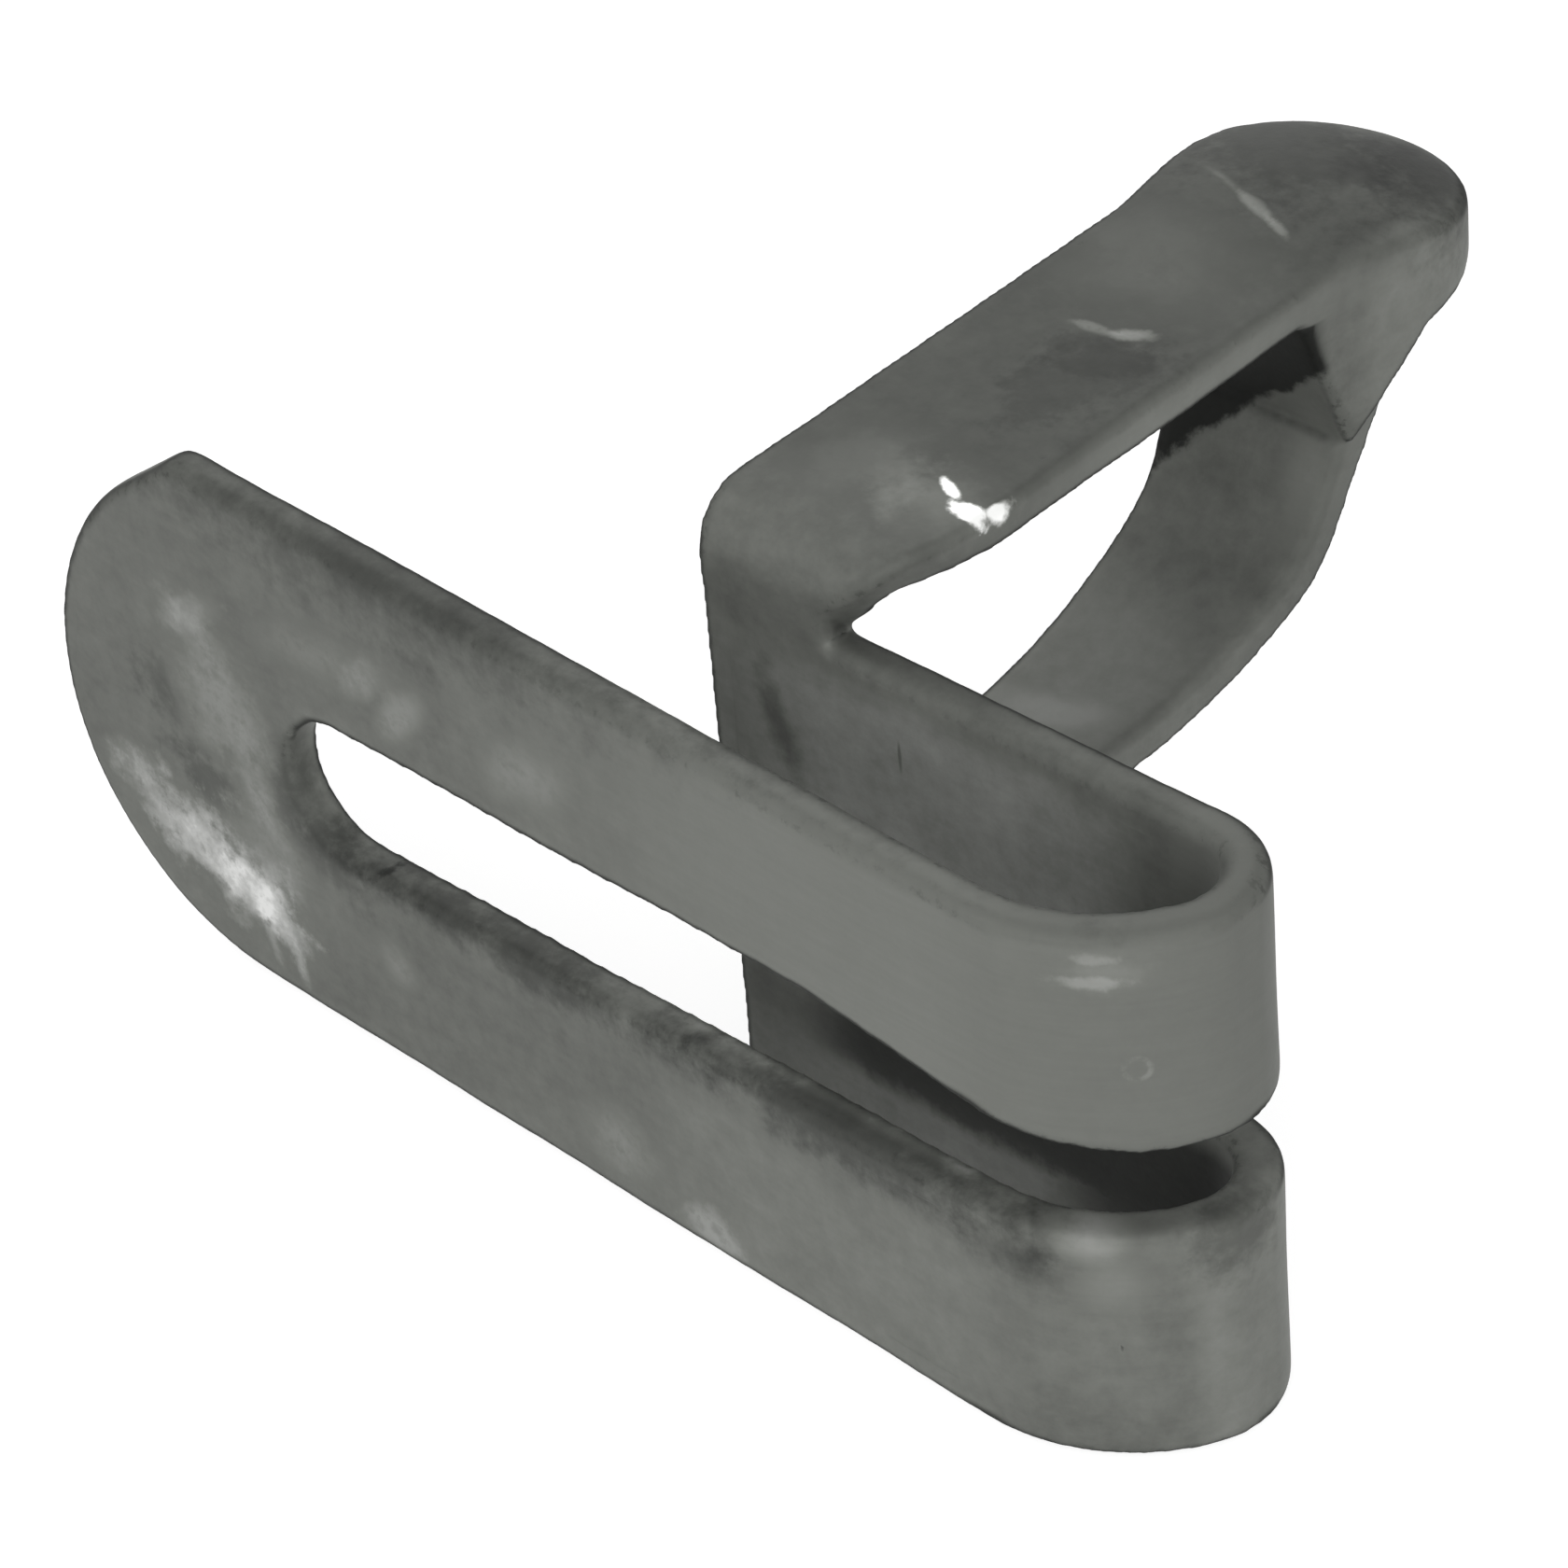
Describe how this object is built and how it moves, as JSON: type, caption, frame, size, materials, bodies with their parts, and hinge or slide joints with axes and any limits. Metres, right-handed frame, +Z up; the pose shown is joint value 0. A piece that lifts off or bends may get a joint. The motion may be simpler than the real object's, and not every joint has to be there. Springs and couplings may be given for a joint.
{
  "type": "interior trim clip",
  "caption": "Folded spring steel clip: a slotted grip plate and a bearing plate pinch the rib of a trim panel, and a prong with a bowed spring leg snaps into a body panel hole.",
  "frame": {"origin": "on the outer face of the bearing plate, under the prong and half way up the plate", "axes": "+X along the plates towards the bend, +Y out of the bearing face along the prong, +Z up"},
  "size_m": [0.0295, 0.0223, 0.0147],
  "materials": {
    "spring_steel": "dull grey spring steel with mottled oxide and rounded stamped edges"
  },
  "bodies": {
    "root": {"trim_clip": "spring_steel"}
  },
  "joints": []
}
